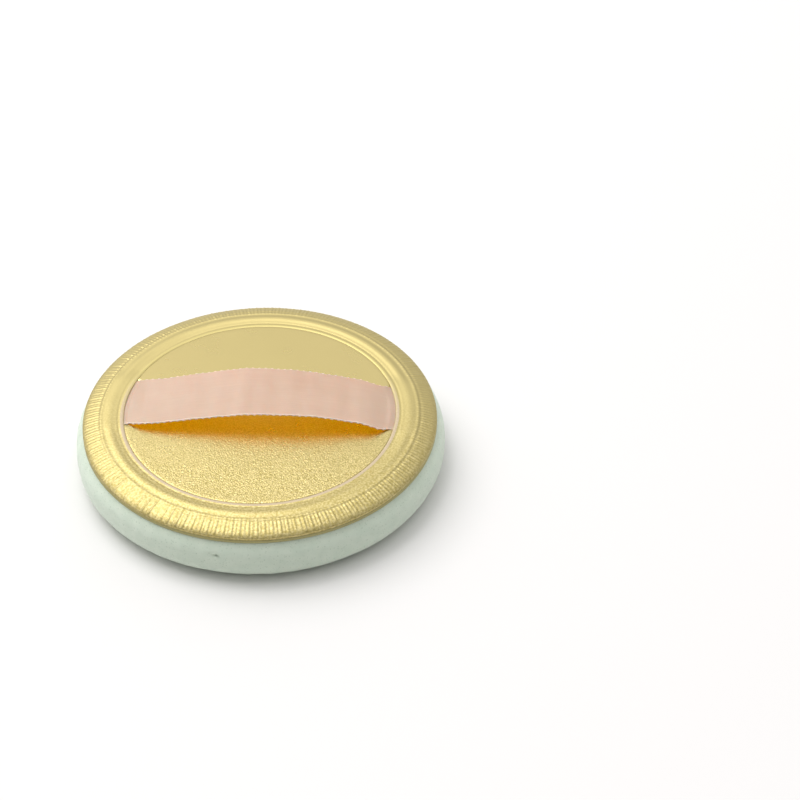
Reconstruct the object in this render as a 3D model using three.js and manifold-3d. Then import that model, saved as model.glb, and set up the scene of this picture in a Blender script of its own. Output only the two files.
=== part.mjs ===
// Air cushion puff: a soft foam disc for patting on make-up, with a gold leatherette back and
// a satin ribbon strap that the fingers slip under. Millimetres, +Z up. The puff lies on its
// face, and the origin is on the table under its middle.

import * as THREE from "three";
import Module from "manifold-3d";
import { mergeVertices } from "three/addons/utils/BufferGeometryUtils.js";

const wasm = await Module();
wasm.setup();

// Foam body: the face, the round side and the pocket that holds the soft core
const puffRadius = 27.7; // at the widest point of the side
const sideOverhang = 1.3; // how far the side stands out past the gold back
const faceCrown = 1.0; // how far the face bulges out between its edge and its middle
const restDepth = 0.5; // how much of that bulge lies flat on the table
const faceEdgeRadius = 2.9; // round edge between the face and the side
const backEdgeRadius = 3.0; // round edge that draws the side in under the back
const backEdgeInset = 0.1; // how far the foam ends inside the rim of the gold sheets
const faceThickness = 2.4; // foam between the table and the core
const rimLand = 1.2; // flat top of the foam between its sloped rim and its recess
const ledgeWidth = 1.8; // step in the pocket that the film and the pad lie on
const pocketCorner = 1.2; // round corner at the bottom of the pocket

// Core, barrier film and backing pad, which fill the pocket
const coreThickness = 4.2;
const coreTopCorner = 0.5;
const coreClearance = 0.3; // free space round the core, which is soft and dropped in
const filmThickness = 0.2;
const padThickness = 0.9;
const recessClearance = 0.2; // round the film and the pad in their recess
const glueLine = 0.1; // between two layers that are glued face to face

// Gold sheets: the back panel, and the ring that is pressed down on its rim
const panelThickness = 0.5; // under the ring, where the press has thinned it
const panelRise = 0.15; // the middle of the panel is this much thicker
const creaseWidth = 0.3; // the panel rolls down to the ring's crease over this width
const pressedWidth = 2.8; // the rim of the back that the hot press pushes down
const pressedDrop = 1.2; // how much lower the outer edge ends up
const ringWidth = 6.15; // from the crease round the panel to the outer edge
const ringEdgeThickness = 0.38; // where the ring ends, at the outside
const ringThickness = 0.25; // of its flat lip beside the crease
const ringRound = 0.06; // softening of its inner edge
const grooveFall = 0.02; // each groove is pressed this much thinner than what lies inside it

// A flat lip, a thin groove and two smooth beads pressed round the ring, as steps from the
// crease outwards
const lipWidth = 0.7;
const lipGrooveFall = 0.15; // down to the lip's groove
const lipGrooveRise = 0.15; // and up from it to the land
const lipGrooveDepth = 0.04;
const landWidth = 0.3;
const innerBeadRise = 0.6;
const innerBeadWidth = 0.4; // across its flat top
const innerBeadFall = 0.75; // down to the middle groove
const outerBeadRise = 0.25;
const outerBeadWidth = 0.2;
const outerBeadFall = 0.25; // down to the outer groove, where the ribs start
const innerBeadHeight = 0.14;
const outerBeadHeight = 0.08;

// Radial ribs pressed in the rim
const ribCount = 138;
const ribDepth = 0.16;
const ribHeadWidth = 0.3; // from the outer groove to the full height of a rib
const ribHeadHeight = 0.1; // of a rib over the groove where it starts
const ribToeWidth = 0.25; // where the ribs bend down to the cut outer edge
const ribToeDrop = 0.2;

// Ribbon strap
const strapWidth = 10.0;
const strapThickness = 0.2;
const strapCrown = 2.5; // how far the middle of the strap stands off its ends
const strapLowEnd = 0.85; // the strap lies low this far inside the ring, then it rises
const strapOffset = 1.5; // the strap crosses a little behind the middle of the puff
const strapTurn = THREE.MathUtils.degToRad(-1.7);
const tailClearance = 0.2; // between a tail and the walls of its slot
const tailGlue = 0.05; // over and under a tail
const slotWeb = 0.2; // leatherette over a tail, at its thinnest
const liftMargin = 0.35; // the ring stays lifted this far past the walls of the slot
const liftFlank = 1.1; // and comes down again over this width

// Facets
const foamSteps = 60; // round the foam
const faceSteps = 2; // from the flat resting patch to the face's edge
const faceEdgeSteps = 5;
const backEdgeSteps = 4;
const pocketCornerSteps = 2;
const discSteps = 48; // round a disc
const discCornerSteps = 3;
const creaseSteps = 3;
const sheetSteps = 96; // round the gold panel
const stepsPerRib = 2; // a crest and a valley
const strapSteps = 28; // along the arch
const cutOverrun = 0.3; // how far a cutting solid reaches past the face that it cuts

// Levels, from the table up
const pocketFloor = faceThickness;
const coreBottom = pocketFloor + glueLine;
const coreTop = coreBottom + coreThickness;
const filmBottom = coreTop + glueLine;
const filmTop = filmBottom + filmThickness;
const padBottom = filmTop + glueLine;
const padTop = padBottom + padThickness;
const foamTop = padTop; // the foam's rim ends level with the pad that it holds
const panelBottom = foamTop + glueLine;
const panelRim = panelBottom + panelThickness;
const panelTop = panelRim + panelRise;
const ringSeat = panelRim + glueLine;
const ringLand = ringSeat + ringThickness;
const lipGroove = ringLand - lipGrooveDepth;
const middleGroove = ringLand - grooveFall;
const tailBottom = panelTop + tailGlue;
const slotTop = tailBottom + strapThickness + tailGlue;
const tailLift = slotTop + slotWeb - lipGroove;

// Radii, from the outside in
const backRadius = puffRadius - sideOverhang;
const pressedStart = backRadius - pressedWidth;
const recessRadius = pressedStart - rimLand;
const filmRadius = recessRadius - recessClearance;
const pocketRadius = recessRadius - ledgeWidth;
const coreRadius = pocketRadius - coreClearance;

// Radii of the ring, from the crease out
const ringInnerRadius = backRadius - ringWidth;
const lipRadius = ringInnerRadius + lipWidth;
const lipGrooveRadius = lipRadius + lipGrooveFall;
const landRadius = lipGrooveRadius + lipGrooveRise + landWidth;
const innerBeadRadius = landRadius + innerBeadRise;
const middleGrooveRadius = innerBeadRadius + innerBeadWidth + innerBeadFall;
const outerBeadRadius = middleGrooveRadius + outerBeadRise;
const outerGrooveRadius = outerBeadRadius + outerBeadWidth + outerBeadFall;

// The strap rises inside the ring, and its tails end where the rim starts to slope
const strapHalfSpan = ringInnerRadius - strapLowEnd;
const slotFarSide = strapOffset + strapWidth / 2 + tailClearance;
const slotReach = Math.sqrt(pressedStart ** 2 - slotFarSide ** 2);
const strapTailReach = slotReach - tailClearance;

// How far a gold sheet or the foam under it is pressed down at a distance from the middle.
function pressedBy(radius) {
  const share = (radius - pressedStart) / pressedWidth;
  return pressedDrop * Math.max(0, share);
}

// Points along an arc, both of its ends included. An angle of 0 points outwards.
const down = -Math.PI / 2;
function arc(centreX, centreY, radius, from, to, steps) {
  const curve = new THREE.EllipseCurve(centreX, centreY, radius, radius, from, to, to < from);
  return curve.getPoints(steps);
}

// A profile of points (radius, height) turned about Z. It runs up the outside.
function turned(profile, steps) {
  return new THREE.LatheGeometry(profile, steps).rotateX(Math.PI / 2);
}

// The same surface as a solid that can be cut.
function solidOf(geometry) {
  const bare = geometry.clone();
  bare.deleteAttribute("normal");
  bare.deleteAttribute("uv");
  const merged = mergeVertices(bare);
  const mesh = new wasm.Mesh({
    numProp: 3,
    vertProperties: merged.attributes.position.array,
    triVerts: new Uint32Array(merged.index.array),
  });
  return new wasm.Manifold(mesh);
}

function geometryOf(solid) {
  const { vertProperties, triVerts } = solid.getMesh();
  const geometry = new THREE.BufferGeometry();
  geometry.setAttribute("position", new THREE.BufferAttribute(vertProperties, 3));
  geometry.setIndex(new THREE.BufferAttribute(triVerts, 1));
  geometry.computeVertexNormals();
  return geometry;
}

function piece(name, geometry, material) {
  const mesh = new THREE.Mesh(geometry, new THREE.MeshStandardMaterial(material));
  mesh.name = name;
  return mesh;
}

// A flat disc with a rounded rim.
function disc(radius, bottom, top, lowerCorner, upperCorner) {
  const profile = [
    new THREE.Vector2(0, bottom),
    ...arc(radius - lowerCorner, bottom + lowerCorner, lowerCorner, down, 0, discCornerSteps),
    ...arc(radius - upperCorner, top - upperCorner, upperCorner, 0, -down, discCornerSteps),
    new THREE.Vector2(0, top),
  ];
  return turned(profile, discSteps);
}

// The foam: a shallow dome cut flat where it rests, a round edge, a side that draws in to the
// back, a rim that slopes as the hot press leaves it, and a stepped pocket open at the top.
function foamBody() {
  const domeRadius = (puffRadius ** 2 + faceCrown ** 2) / (2 * faceCrown);
  const domeCentre = domeRadius - restDepth;
  const faceEdgeX = puffRadius - faceEdgeRadius;
  const faceEdgeReach = domeRadius - faceEdgeRadius;
  const faceEdgeTilt = Math.asin(faceEdgeX / faceEdgeReach);
  const faceEdgeZ = domeCentre - faceEdgeReach * Math.cos(faceEdgeTilt);
  const restEdgeTilt = Math.acos(domeCentre / domeRadius);

  const foamRimRadius = backRadius - backEdgeInset;
  const foamRimTop = foamTop - pressedBy(foamRimRadius);
  const backEdgeX = puffRadius - backEdgeRadius;
  const backEdgeAngle = Math.acos((foamRimRadius - backEdgeX) / backEdgeRadius);
  const backEdgeZ = foamRimTop - backEdgeRadius * Math.sin(backEdgeAngle);
  const cornerX = pocketRadius - pocketCorner;
  const cornerZ = pocketFloor + pocketCorner;

  const profile = [
    new THREE.Vector2(0, 0),
    ...arc(0, domeCentre, domeRadius, down + restEdgeTilt, down + faceEdgeTilt, faceSteps),
    ...arc(faceEdgeX, faceEdgeZ, faceEdgeRadius, down + faceEdgeTilt, 0, faceEdgeSteps).slice(1),
    ...arc(backEdgeX, backEdgeZ, backEdgeRadius, 0, backEdgeAngle, backEdgeSteps),
    new THREE.Vector2(pressedStart, foamTop),
    new THREE.Vector2(recessRadius, foamTop),
    new THREE.Vector2(recessRadius, coreTop),
    new THREE.Vector2(pocketRadius, coreTop),
    ...arc(cornerX, cornerZ, pocketCorner, 0, down, pocketCornerSteps),
    new THREE.Vector2(0, pocketFloor),
  ];
  return turned(profile, foamSteps);
}

// The gold panel: raised in the middle, rolled down to the crease, flat under the ring and
// pressed down at its rim.
function panelSheet() {
  const rollX = ringInnerRadius - creaseWidth;
  const roll = new THREE.EllipseCurve(rollX, panelRim, creaseWidth, panelRise, 0, -down);
  const profile = [
    new THREE.Vector2(0, panelBottom),
    new THREE.Vector2(pressedStart, panelBottom),
    new THREE.Vector2(backRadius, panelBottom - pressedDrop),
    new THREE.Vector2(backRadius, panelRim - pressedDrop),
    new THREE.Vector2(pressedStart, panelRim),
    ...roll.getPoints(creaseSteps),
    new THREE.Vector2(0, panelTop),
  ];
  return turned(profile, sheetSteps);
}

// The ring's outline, with its ribbed part lowered: by nothing on a crest, by the depth of a
// rib in a valley.
function ringProfile(lowered) {
  const outerGroove = middleGroove - grooveFall - pressedBy(outerGrooveRadius);
  const innerBead = ringLand + innerBeadHeight;
  const outerBead = middleGroove + outerBeadHeight;
  const ribHeadRadius = outerGrooveRadius + ribHeadWidth;
  const ribHeadTop = outerGroove + ribHeadHeight - lowered;
  const edgeBottom = ringSeat - pressedDrop;
  const edgeTop = edgeBottom + ringEdgeThickness;
  const ribToeRadius = backRadius - ribToeWidth;
  const ribToeTop = edgeTop + ribToeDrop - lowered;
  return [
    [pressedStart, ringSeat],
    [backRadius, edgeBottom],
    [backRadius, edgeTop],
    [ribToeRadius, ribToeTop],
    [ribHeadRadius, ribHeadTop],
    [outerGrooveRadius, outerGroove],
    [outerBeadRadius + outerBeadWidth, outerBead],
    [outerBeadRadius, outerBead],
    [middleGrooveRadius, middleGroove],
    [innerBeadRadius + innerBeadWidth, innerBead],
    [innerBeadRadius, innerBead],
    [landRadius, ringLand],
    [lipGrooveRadius + lipGrooveRise, ringLand],
    [lipGrooveRadius, lipGroove],
    [lipRadius, ringLand],
    [ringInnerRadius + ringRound, ringLand],
    [ringInnerRadius, ringLand - ringRound],
    [ringInnerRadius, ringSeat],
    [pressedStart, ringSeat],
  ].map(([radius, height]) => new THREE.Vector2(radius, height));
}

// How far the top of the ring is lifted over a tail, at a place along and across the strap.
function liftedBy(place) {
  const { smoothstep } = THREE.MathUtils;
  const flatAlong = slotReach + liftMargin;
  const flatAcross = strapWidth / 2 + tailClearance + liftMargin;
  const along = Math.abs(place.x);
  const across = Math.abs(place.y);
  const shareAlong = 1 - smoothstep(along, flatAlong, flatAlong + liftFlank);
  const shareAcross = 1 - smoothstep(across, flatAcross, flatAcross + liftFlank);
  return tailLift * shareAlong * shareAcross;
}

// The pressed ring. Its outline is turned once, every second step round it is lowered to the
// valley between two ribs, and its top is lifted over the strap's tails.
function ringBlank() {
  const crest = ringProfile(0);
  const valley = ringProfile(ribDepth);
  const geometry = turned(crest, ribCount * stepsPerRib);
  const places = geometry.attributes.position;
  const middleOfStrap = new THREE.Vector2(0, strapOffset);
  for (let i = 0; i < places.count; i++) {
    const step = Math.floor(i / crest.length);
    const outline = step % stepsPerRib === 1 ? valley : crest;
    const height = outline[i % crest.length].y;
    const onTop = crest[i % crest.length].y > ringSeat;
    const place = new THREE.Vector2(places.getX(i), places.getY(i)).sub(middleOfStrap);
    place.rotateAround(new THREE.Vector2(), -strapTurn);
    places.setZ(i, onTop ? height + liftedBy(place) : height);
  }
  return geometry;
}

// The slot that the strap's two tails lie in, right across the underside of the ring.
function tailSlot() {
  const bottom = ringSeat - cutOverrun;
  const width = strapWidth + 2 * tailClearance;
  const slot = new THREE.BoxGeometry(2 * slotReach, width, slotTop - bottom);
  return slot.rotateZ(strapTurn).translate(0, strapOffset, (bottom + slotTop) / 2);
}

// The strap from the side, as shares of its half span and of its crown. It leaves the ring
// low, rises to a broad top in the middle and comes down a little steeper.
const strapSpanShares = [-1, -0.8, -0.52, -0.24, 0.02, 0.3, 0.58, 0.84, 1];
const strapRiseShares = [0, 0.08, 0.43, 0.84, 1, 0.92, 0.6, 0.17, 0];

function strapRibbon() {
  const places = strapSpanShares.map(
    (share, i) => new THREE.Vector2(share * strapHalfSpan, strapRiseShares[i] * strapCrown),
  );
  const line = new THREE.SplineCurve(places);
  const left = new THREE.Vector2(-strapTailReach, 0);
  const right = new THREE.Vector2(strapTailReach, 0);
  const middle = [left, ...line.getSpacedPoints(strapSteps), right];
  const lifted = middle.map((at, i) => {
    const before = middle[Math.max(0, i - 1)];
    const after = middle[Math.min(middle.length - 1, i + 1)];
    const along = new THREE.Vector2().subVectors(after, before).normalize();
    return at.clone().add(new THREE.Vector2(-along.y, along.x).multiplyScalar(strapThickness));
  });
  const outline = new THREE.Shape([...middle, ...lifted.reverse()]);
  const ribbon = new THREE.ExtrudeGeometry(outline, { depth: strapWidth, bevelEnabled: false });
  return ribbon.rotateX(Math.PI / 2).translate(0, strapWidth / 2, 0);
}

// Foam body and the soft core inside it
const cushion = new THREE.Group();
const foam = { color: "#d3e3ce", roughness: 0.95, metalness: 0 };
const sponge = { color: "#f4f0e2", roughness: 0.95, metalness: 0 };
cushion.add(piece("face_foam", foamBody(), foam));
const coreCorner = pocketCorner - coreClearance;
const core = disc(coreRadius, coreBottom, coreTop, coreCorner, coreTopCorner);
cushion.add(piece("core_sponge", core, sponge));

// The layers of the back, which are glued over the core
const backing = new THREE.Group();
const film = { color: "#e6edf0", roughness: 0.25, metalness: 0 };
const pad = { color: "#efe4d2", roughness: 0.95, metalness: 0 };
const gold = { color: "#e0c873", roughness: 0.38, metalness: 0.85 };
const filmCorner = filmThickness / 2;
const padCorner = padThickness / 2;
const filmDisc = disc(filmRadius, filmBottom, filmTop, filmCorner, filmCorner);
const padDisc = disc(filmRadius, padBottom, padTop, padCorner, padCorner);
const ring = solidOf(ringBlank()).subtract(solidOf(tailSlot()));
backing.add(piece("barrier_film", filmDisc, film));
backing.add(piece("back_pad", padDisc, pad));
backing.add(piece("back_panel", panelSheet(), gold));
backing.add(piece("rim_ring", geometryOf(ring), gold));

// The strap, which lies over the panel with its tails in the ring's slot
const satin = { color: "#e6c8b6", roughness: 0.45, metalness: 0 };
const strap = piece("strap", strapRibbon(), satin);
strap.rotation.z = strapTurn;
strap.position.set(0, strapOffset, tailBottom);

const puff = new THREE.Group();
puff.add(cushion, backing, strap);

export default puff;
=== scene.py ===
import math

import bmesh
import bpy
import numpy as np
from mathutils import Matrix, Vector, noise


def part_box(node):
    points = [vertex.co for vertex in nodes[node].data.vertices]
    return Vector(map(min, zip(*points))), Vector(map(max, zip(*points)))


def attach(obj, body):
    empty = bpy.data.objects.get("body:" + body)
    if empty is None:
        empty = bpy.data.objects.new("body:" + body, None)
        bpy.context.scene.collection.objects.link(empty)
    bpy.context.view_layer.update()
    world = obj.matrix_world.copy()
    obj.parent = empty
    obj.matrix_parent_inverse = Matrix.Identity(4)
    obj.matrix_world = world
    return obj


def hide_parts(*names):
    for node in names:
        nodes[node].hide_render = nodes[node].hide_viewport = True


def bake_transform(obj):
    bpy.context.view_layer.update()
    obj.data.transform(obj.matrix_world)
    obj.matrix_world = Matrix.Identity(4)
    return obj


# An air cushion puff lying on its foam face: mint foam, gold leatherette back, satin strap.
# Shapes are worked out in millimetres and turned to metres as each mesh is made.

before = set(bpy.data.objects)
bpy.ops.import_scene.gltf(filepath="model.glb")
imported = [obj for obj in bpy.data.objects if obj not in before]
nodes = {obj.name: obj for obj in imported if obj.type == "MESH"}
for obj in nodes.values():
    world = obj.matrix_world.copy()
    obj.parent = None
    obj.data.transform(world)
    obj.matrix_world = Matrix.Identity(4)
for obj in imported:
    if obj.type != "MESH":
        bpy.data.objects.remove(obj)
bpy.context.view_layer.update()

MM = 0.001


def reach(node):
    """Outer radius, bottom and top of a CAD node, in mm."""
    low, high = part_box(node)
    return high.x / MM, low.z / MM, high.z / MM


puff_radius, table_level, foam_top = reach("face_foam")
core_radius, core_bottom, core_top = reach("core_sponge")
pad_radius, pad_bottom, pad_top = reach("back_pad")
back_radius, _, panel_top = reach("back_panel")
_, ring_edge_bottom, _ = reach("rim_ring")

# Foam, as the CAD model has it
FACE_CROWN = 1.0
REST_DEPTH = 0.5
FACE_EDGE_ROUND = 2.9
BACK_EDGE_ROUND = 3.0
BACK_EDGE_INSET = 0.1
PRESSED_WIDTH = 2.8
PRESSED_DROP = 1.2
RIM_LAND = 1.2
LEDGE_WIDTH = 1.8
POCKET_CORNER = 1.2
FACE_THICKNESS = 2.4
CORE_TOP_CORNER = 0.5
CORE_CLEARANCE = 0.3
PAD_SIDE_HALF = 0.01  # half the straight part of the pad's side

# Grinding, nicks and open cells, which the CAD model leaves out. A WIDTH is how wide a lump is.
SIDE_START, SIDE_FULL = 23.0, 27.0  # the smooth face turns into the cut side between these radii
FACE_GRIND = 0.012
SIDE_GRIND = 0.05
GRIND_WIDTH = 1.2
SIDE_WANDER = 0.10
WANDER_WIDTH = 9.0
NICK_STRETCH = 1.8  # a nick is so much wider than it is high
NICK_SLANT = 0.5
NICK_INNER = 25.0  # nicks stay outside this radius
SPONGE_DENT = 0.02
SPONGE_DENT_WIDTH = 1.6

# Innermost row of points of each turned face, and points round each piece
FACE_HUB, POCKET_HUB, SPONGE_HUB, PANEL_HUB, PANEL_UNDER_HUB = 0.6, 1.0, 0.8, 0.4, 1.0
FOAM_AROUND, SPONGE_AROUND, PANEL_AROUND, POINTS_PER_RIB = 560, 144, 288, 10

# Gold sheets
PANEL_THICKNESS = 0.5
PANEL_RISE = 0.15
PANEL_SWELL = 0.16  # the sponge below lifts the sheet, which the CAD model leaves out
CREASE_WIDTH = 0.5
CREASE_ROLL = 0.03
PANEL_EDGE_BEVEL = 0.06
PANEL_UNDER_BEVEL = 0.04
WIDE_DIP, WIDE_DIP_WIDTH = 0.012, 11.0
SMALL_DIP, SMALL_DIP_WIDTH = 0.004, 3.5
DIP_FADE = 2.5  # the dips fade out over this width before the ring
TAIL_BEND = 0.9  # a tail bends down below the ring over this width
RING_WIDTH = 6.15
RING_THICKNESS = 0.25
RING_EDGE_THICKNESS = 0.38
GLUE_LINE = 0.1
GROOVE_FALL = 0.02
INNER_BEAD_HEIGHT = 0.11
OUTER_BEAD_HEIGHT = 0.055
RIB_COUNT = 138
RIB_HEAD_HEIGHT = 0.1
OUTER_GROOVE = 3.75  # the ribs start outside this groove, so far from the ring's inner edge
RIB_MEAN, RIB_SWELL, RIB_FOLD = 0.45, 0.2, 0.33  # shares of a rib's height that make up its section
RIB_UNEVENNESS, RIB_LOWEST, RIB_HIGHEST = 0.2, 0.5, 1.35
RIB_LEAN, RIB_MOST_LEAN = 0.09, 0.2
EDGE_PRESS_IN = (0.06, 0.05, 0.0)  # between two ribs, at the top, middle and foot of the outer edge
RING_EDGE_ROUND = 0.04
RING_UNEVENNESS, RING_UNEVENNESS_WIDTH = 0.015, 4.0
LIP_WIDTH, BEADS_END, RIBS_START, RIBS_END = 1.0, 3.2, 3.7, 5.9
BEAD_STEP, RIB_STEP, EDGE_STEP = 0.1, 0.17, 0.06  # from point to point across the ring's top
LIP_SOFTNESS, BEAD_SOFTNESS, RIB_SOFTNESS = 0.07, 0.1, 0.11  # how widely corners are rounded
ROUNDING_REACH, ROUNDING_STEP = 0.3, 0.01
LIP_HIGHLIGHT_ROWS = 5  # rows of points at the inner edge whose faces carry the lip's painted highlight at the front
TAIL_LIFT = 0.08

# Ribbon
RIBBON_WIDTH = 10.0
RIBBON_THICKNESS = 0.2
RIBBON_OFFSET = 1.5
RIBBON_TURN = math.radians(-1.7)
TAIL_REACH = 22.43
TAIL_END_ROOM, TAIL_END_FADE = 0.3, 2.0  # the ring comes down again between these, past a tail's end
RING_FLANK = 2.8  # the ring comes down again beside a tail over this width
PANEL_FLANK = 0.15  # and the panel comes up again over this one
LEFT_BEND, RIGHT_CREASE = -16.5, 14.2
FREE_SOFTNESS, BEND_SOFTNESS, CREASE_SOFTNESS = 0.8, 0.4, 0.28
RIBBON_CUP = 0.05  # the middle of the free ribbon stands so much higher than its edges
CUP_START, CUP_FULL = 0.2, 1.5  # heights of the arch between which it cups
RIBBON_WAVE = 0.05
RIBBON_WAVES = ((0.55, 0.3), (1.25, 1.0))  # radians for each mm along, and at the middle
WAVE_START, WAVE_FULL = 0.4, 1.6
RIBBON_STEPS, SATIN_LANES, SATIN_LANES_END = 240, 25, 0.9  # points along, across, and their last place
SELVEDGE_LANES = (0.94, 0.965, 0.985, 1.0)
SATIN_FULLNESS = 0.8
SELVEDGE_START, THREAD_START = 0.93, 0.97  # shares of the way from the ribbon's middle to its edge
RIBBON_EDGE_FULLNESS = 0.45
PICOT_REACH = 19.35  # picots run from here on one side to here on the other
PICOT_STEPS, THREAD_SIDES = 9, 6
PICOT_PITCH, PICOT_HALF_WIDTH, PICOT_OUT, PICOT_ROOT, PICOT_THREAD = 0.95, 0.22, 0.17, 0.1, 0.065

pressed_start = back_radius - PRESSED_WIDTH
recess_radius = pressed_start - RIM_LAND
pocket_radius = recess_radius - LEDGE_WIDTH
ring_inner = back_radius - RING_WIDTH
panel_rim = panel_top - PANEL_RISE
ring_land = panel_rim + GLUE_LINE + RING_THICKNESS
touching = 0.02

SEED_SHIFT = (17.3, 5.1, 9.7)  # each seed reads the noise so much further away than the one before


# Meshes

def smooth_step(value, start, end):
    """0 up to start, 1 from end on, and an even S-shaped rise between them."""
    share = np.clip((value - start) / (end - start), 0.0, 1.0)
    return share * share * (3.0 - 2.0 * share)


def arc(centre_r, centre_z, radius, start, end, steps):
    """Points of an arc as rows of radius and height. Angles are in degrees, 0 points outwards."""
    angles = np.radians(np.linspace(start, end, steps + 1))
    return np.stack([centre_r + radius * np.cos(angles), centre_z + radius * np.sin(angles)], 1)


def line(start, end, steps):
    """Points from start to end, without the start."""
    shares = np.linspace(0.0, 1.0, steps + 1)[1:, None]
    return np.array(start) + shares * (np.array(end) - np.array(start))


def turned(outline, around):
    """The outline, rows of radius and height, turned once round Z."""
    angles = np.arange(around) * 2 * math.pi / around
    grid = np.empty((around, len(outline), 3))
    grid[..., 0] = np.cos(angles)[:, None] * outline[:, 0]
    grid[..., 1] = np.sin(angles)[:, None] * outline[:, 0]
    grid[..., 2] = outline[:, 1]
    return grid


def skin(name, shells):
    """One piece made of closed shells. A shell is a grid of points in mm, whose rows go once
    round, and either the two points that close its ends, or None where its columns meet too."""
    points, faces, count = [], [], 0
    for grid, tips in shells:
        around, along = grid.shape[:2]
        row = count + np.arange(around)[:, None] * along
        next_row = np.roll(row, -1, axis=0)
        column = np.arange(along if tips is None else along - 1)
        next_column = (column + 1) % along
        corners = [row + column, next_row + column, next_row + next_column, row + next_column]
        faces += np.stack(corners, -1).reshape(-1, 4).tolist()
        points.append(grid.reshape(-1, 3))
        count += around * along
        if tips is not None:
            for tip, side in ((count, 0), (count + 1, along - 1)):
                faces += [[tip, int(a) + side, int(b) + side] for a, b in zip(row[:, 0], next_row[:, 0])]
            points.append(np.array(tips, float))
            count += 2
    mesh = bpy.data.meshes.new(name)
    mesh.from_pydata((np.vstack(points) * MM).tolist(), [], faces)
    work = bmesh.new()
    work.from_mesh(mesh)
    bmesh.ops.recalc_face_normals(work, faces=work.faces)
    work.to_mesh(mesh)
    work.free()
    mesh.shade_smooth()
    piece = bpy.data.objects.new(name, mesh)
    bpy.context.scene.collection.objects.link(piece)
    return piece


def lumps(points, size, seed):
    """Soft noise from -1 to 1 at each point. size is the width of a lump in mm."""
    shift = Vector([seed * one for one in SEED_SHIFT])
    flat = points.reshape(-1, 3) / size
    values = [noise.noise(Vector(p) + shift) for p in flat]
    return np.array(values).reshape(points.shape[:-1])


# Foam body

def pressed_by(radius):
    """How much lower hot pressing leaves the rim at this radius."""
    return PRESSED_DROP * max(0.0, (radius - pressed_start) / PRESSED_WIDTH)


def make_foam_body():
    """The mint foam: a shallow dome that lies flat on a round patch, a round edge, a side that
    draws in to the back, and a pocket for the core."""
    dome = (puff_radius ** 2 + FACE_CROWN ** 2) / (2 * FACE_CROWN)
    dome_z = dome - REST_DEPTH
    edge_r = puff_radius - FACE_EDGE_ROUND
    tilt = math.degrees(math.asin(edge_r / (dome - FACE_EDGE_ROUND)))
    edge_z = dome_z - (dome - FACE_EDGE_ROUND) * math.cos(math.radians(tilt))
    rest_tilt = math.degrees(math.acos(dome_z / dome))
    rest_radius = dome * math.sin(math.radians(rest_tilt))

    rim_radius = back_radius - BACK_EDGE_INSET
    rim_top = foam_top - pressed_by(rim_radius)
    back_r = puff_radius - BACK_EDGE_ROUND
    back_angle = math.degrees(math.acos((rim_radius - back_r) / BACK_EDGE_ROUND))
    back_z = rim_top - BACK_EDGE_ROUND * math.sin(math.radians(back_angle))

    face = line((FACE_HUB, 0.0), (rest_radius, 0.0), 30)
    dome_part = arc(0, dome_z, dome, -90 + rest_tilt, -90 + tilt, 12)[1:]
    edge = arc(edge_r, edge_z, FACE_EDGE_ROUND, -90 + tilt, 0, 16)[1:]
    side = line(edge[-1], (puff_radius, back_z), 4)[:-1]
    back = arc(back_r, back_z, BACK_EDGE_ROUND, 0, back_angle, 14)
    outside = np.vstack([face, dome_part, edge, side, back])
    inside = np.vstack([
        line(back[-1], (pressed_start, foam_top), 4),
        line((pressed_start, foam_top), (recess_radius, foam_top), 1),
        line((recess_radius, foam_top), (recess_radius, core_top), 2),
        line((recess_radius, core_top), (pocket_radius, core_top), 1),
        arc(pocket_radius - POCKET_CORNER, FACE_THICKNESS + POCKET_CORNER, POCKET_CORNER, 0, -90, 4),
        line((pocket_radius - POCKET_CORNER, FACE_THICKNESS), (POCKET_HUB, FACE_THICKNESS), 5),
    ])
    outline = np.vstack([outside, inside])
    grid = turned(outline, FOAM_AROUND)

    # Ground foam is never even: the skin goes in by up to two tenths of a millimetre on the cut
    # side and by two hundredths on the face, and never out past the CAD model.
    step = np.gradient(outline, axis=0)
    inward = np.stack([-step[:, 1], step[:, 0]], 1)
    inward /= np.linalg.norm(inward, axis=1)[:, None]
    is_skin = np.arange(len(outline)) < len(outside) - 1
    on_side = smooth_step(outline[:, 0], SIDE_START, SIDE_FULL)
    depth = is_skin * (FACE_GRIND + SIDE_GRIND * on_side)
    wander = is_skin * SIDE_WANDER * on_side
    dent = depth * (1 + lumps(grid, GRIND_WIDTH, seed=1))
    dent = dent + wander * (0.5 + 0.5 * lumps(grid, WANDER_WIDTH, seed=2))
    dent += nicks(grid)
    directions = turned(inward, FOAM_AROUND)
    grid += directions * dent[..., None]
    return skin("foam_body", [(grid, [(0, 0, 0), (0, 0, FACE_THICKNESS)])])


def nicks(grid):
    """Small torn places in the side: their angle round the puff, height, width and depth."""
    torn = [
        (-100.8, 5.0, 0.25, 0.6), (-62.0, 3.2, 0.3, 0.12),
        (35.0, 4.8, 0.35, 0.15), (152.0, 3.0, 0.3, 0.14),
    ]
    angle = np.degrees(np.arctan2(grid[..., 1], grid[..., 0]))
    radius = np.hypot(grid[..., 0], grid[..., 1])
    dent = np.zeros(grid.shape[:2])
    for where, height, width, depth in torn:
        across = np.radians((angle - where + 180) % 360 - 180) * radius / (NICK_STRETCH * width)
        up = (grid[..., 2] - height) / width + NICK_SLANT * across
        dent += depth * np.exp(-(across ** 2 + up ** 2)) * (radius > NICK_INNER)
    return dent


# Core and pad, hidden inside

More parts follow.
